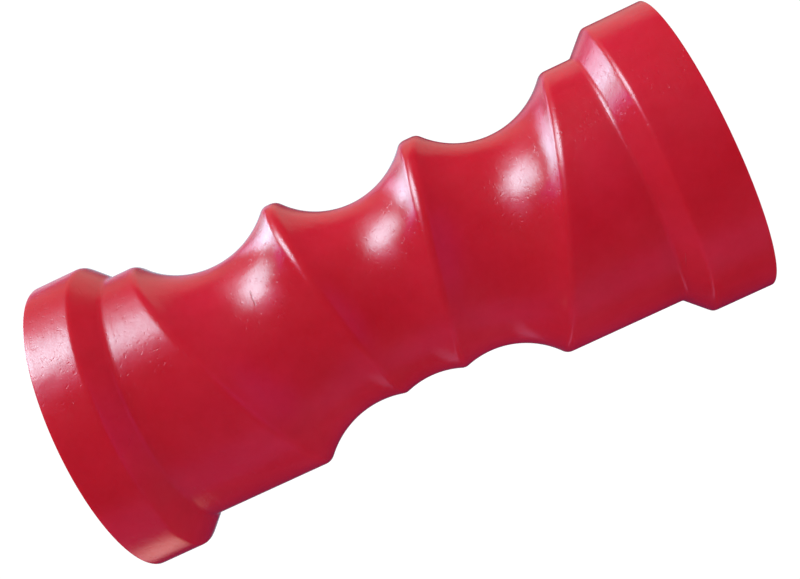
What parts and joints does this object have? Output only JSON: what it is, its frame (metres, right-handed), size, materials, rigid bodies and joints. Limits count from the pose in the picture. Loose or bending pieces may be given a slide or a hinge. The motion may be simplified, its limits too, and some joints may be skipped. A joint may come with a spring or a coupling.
{
  "type": "boat trailer roller",
  "caption": "Moulded keel roller for a boat trailer, with raised end flanges, a waist of ring-shaped grooves that lean in opposite senses, and a plain through bore for the spindle.",
  "frame": {"origin": "centre of the wider-rimmed end face, on the bore's axis", "axes": "+Z along the roller's axis from the wider-rimmed end to the narrower-rimmed end; +X towards the side where the grooves stand furthest apart and the ridges between them are tallest"},
  "size_m": [0.0922, 0.0922, 0.2],
  "materials": {
    "polyurethane": "gloss"
  },
  "bodies": {
    "root": {"roller": "polyurethane"}
  },
  "joints": []
}
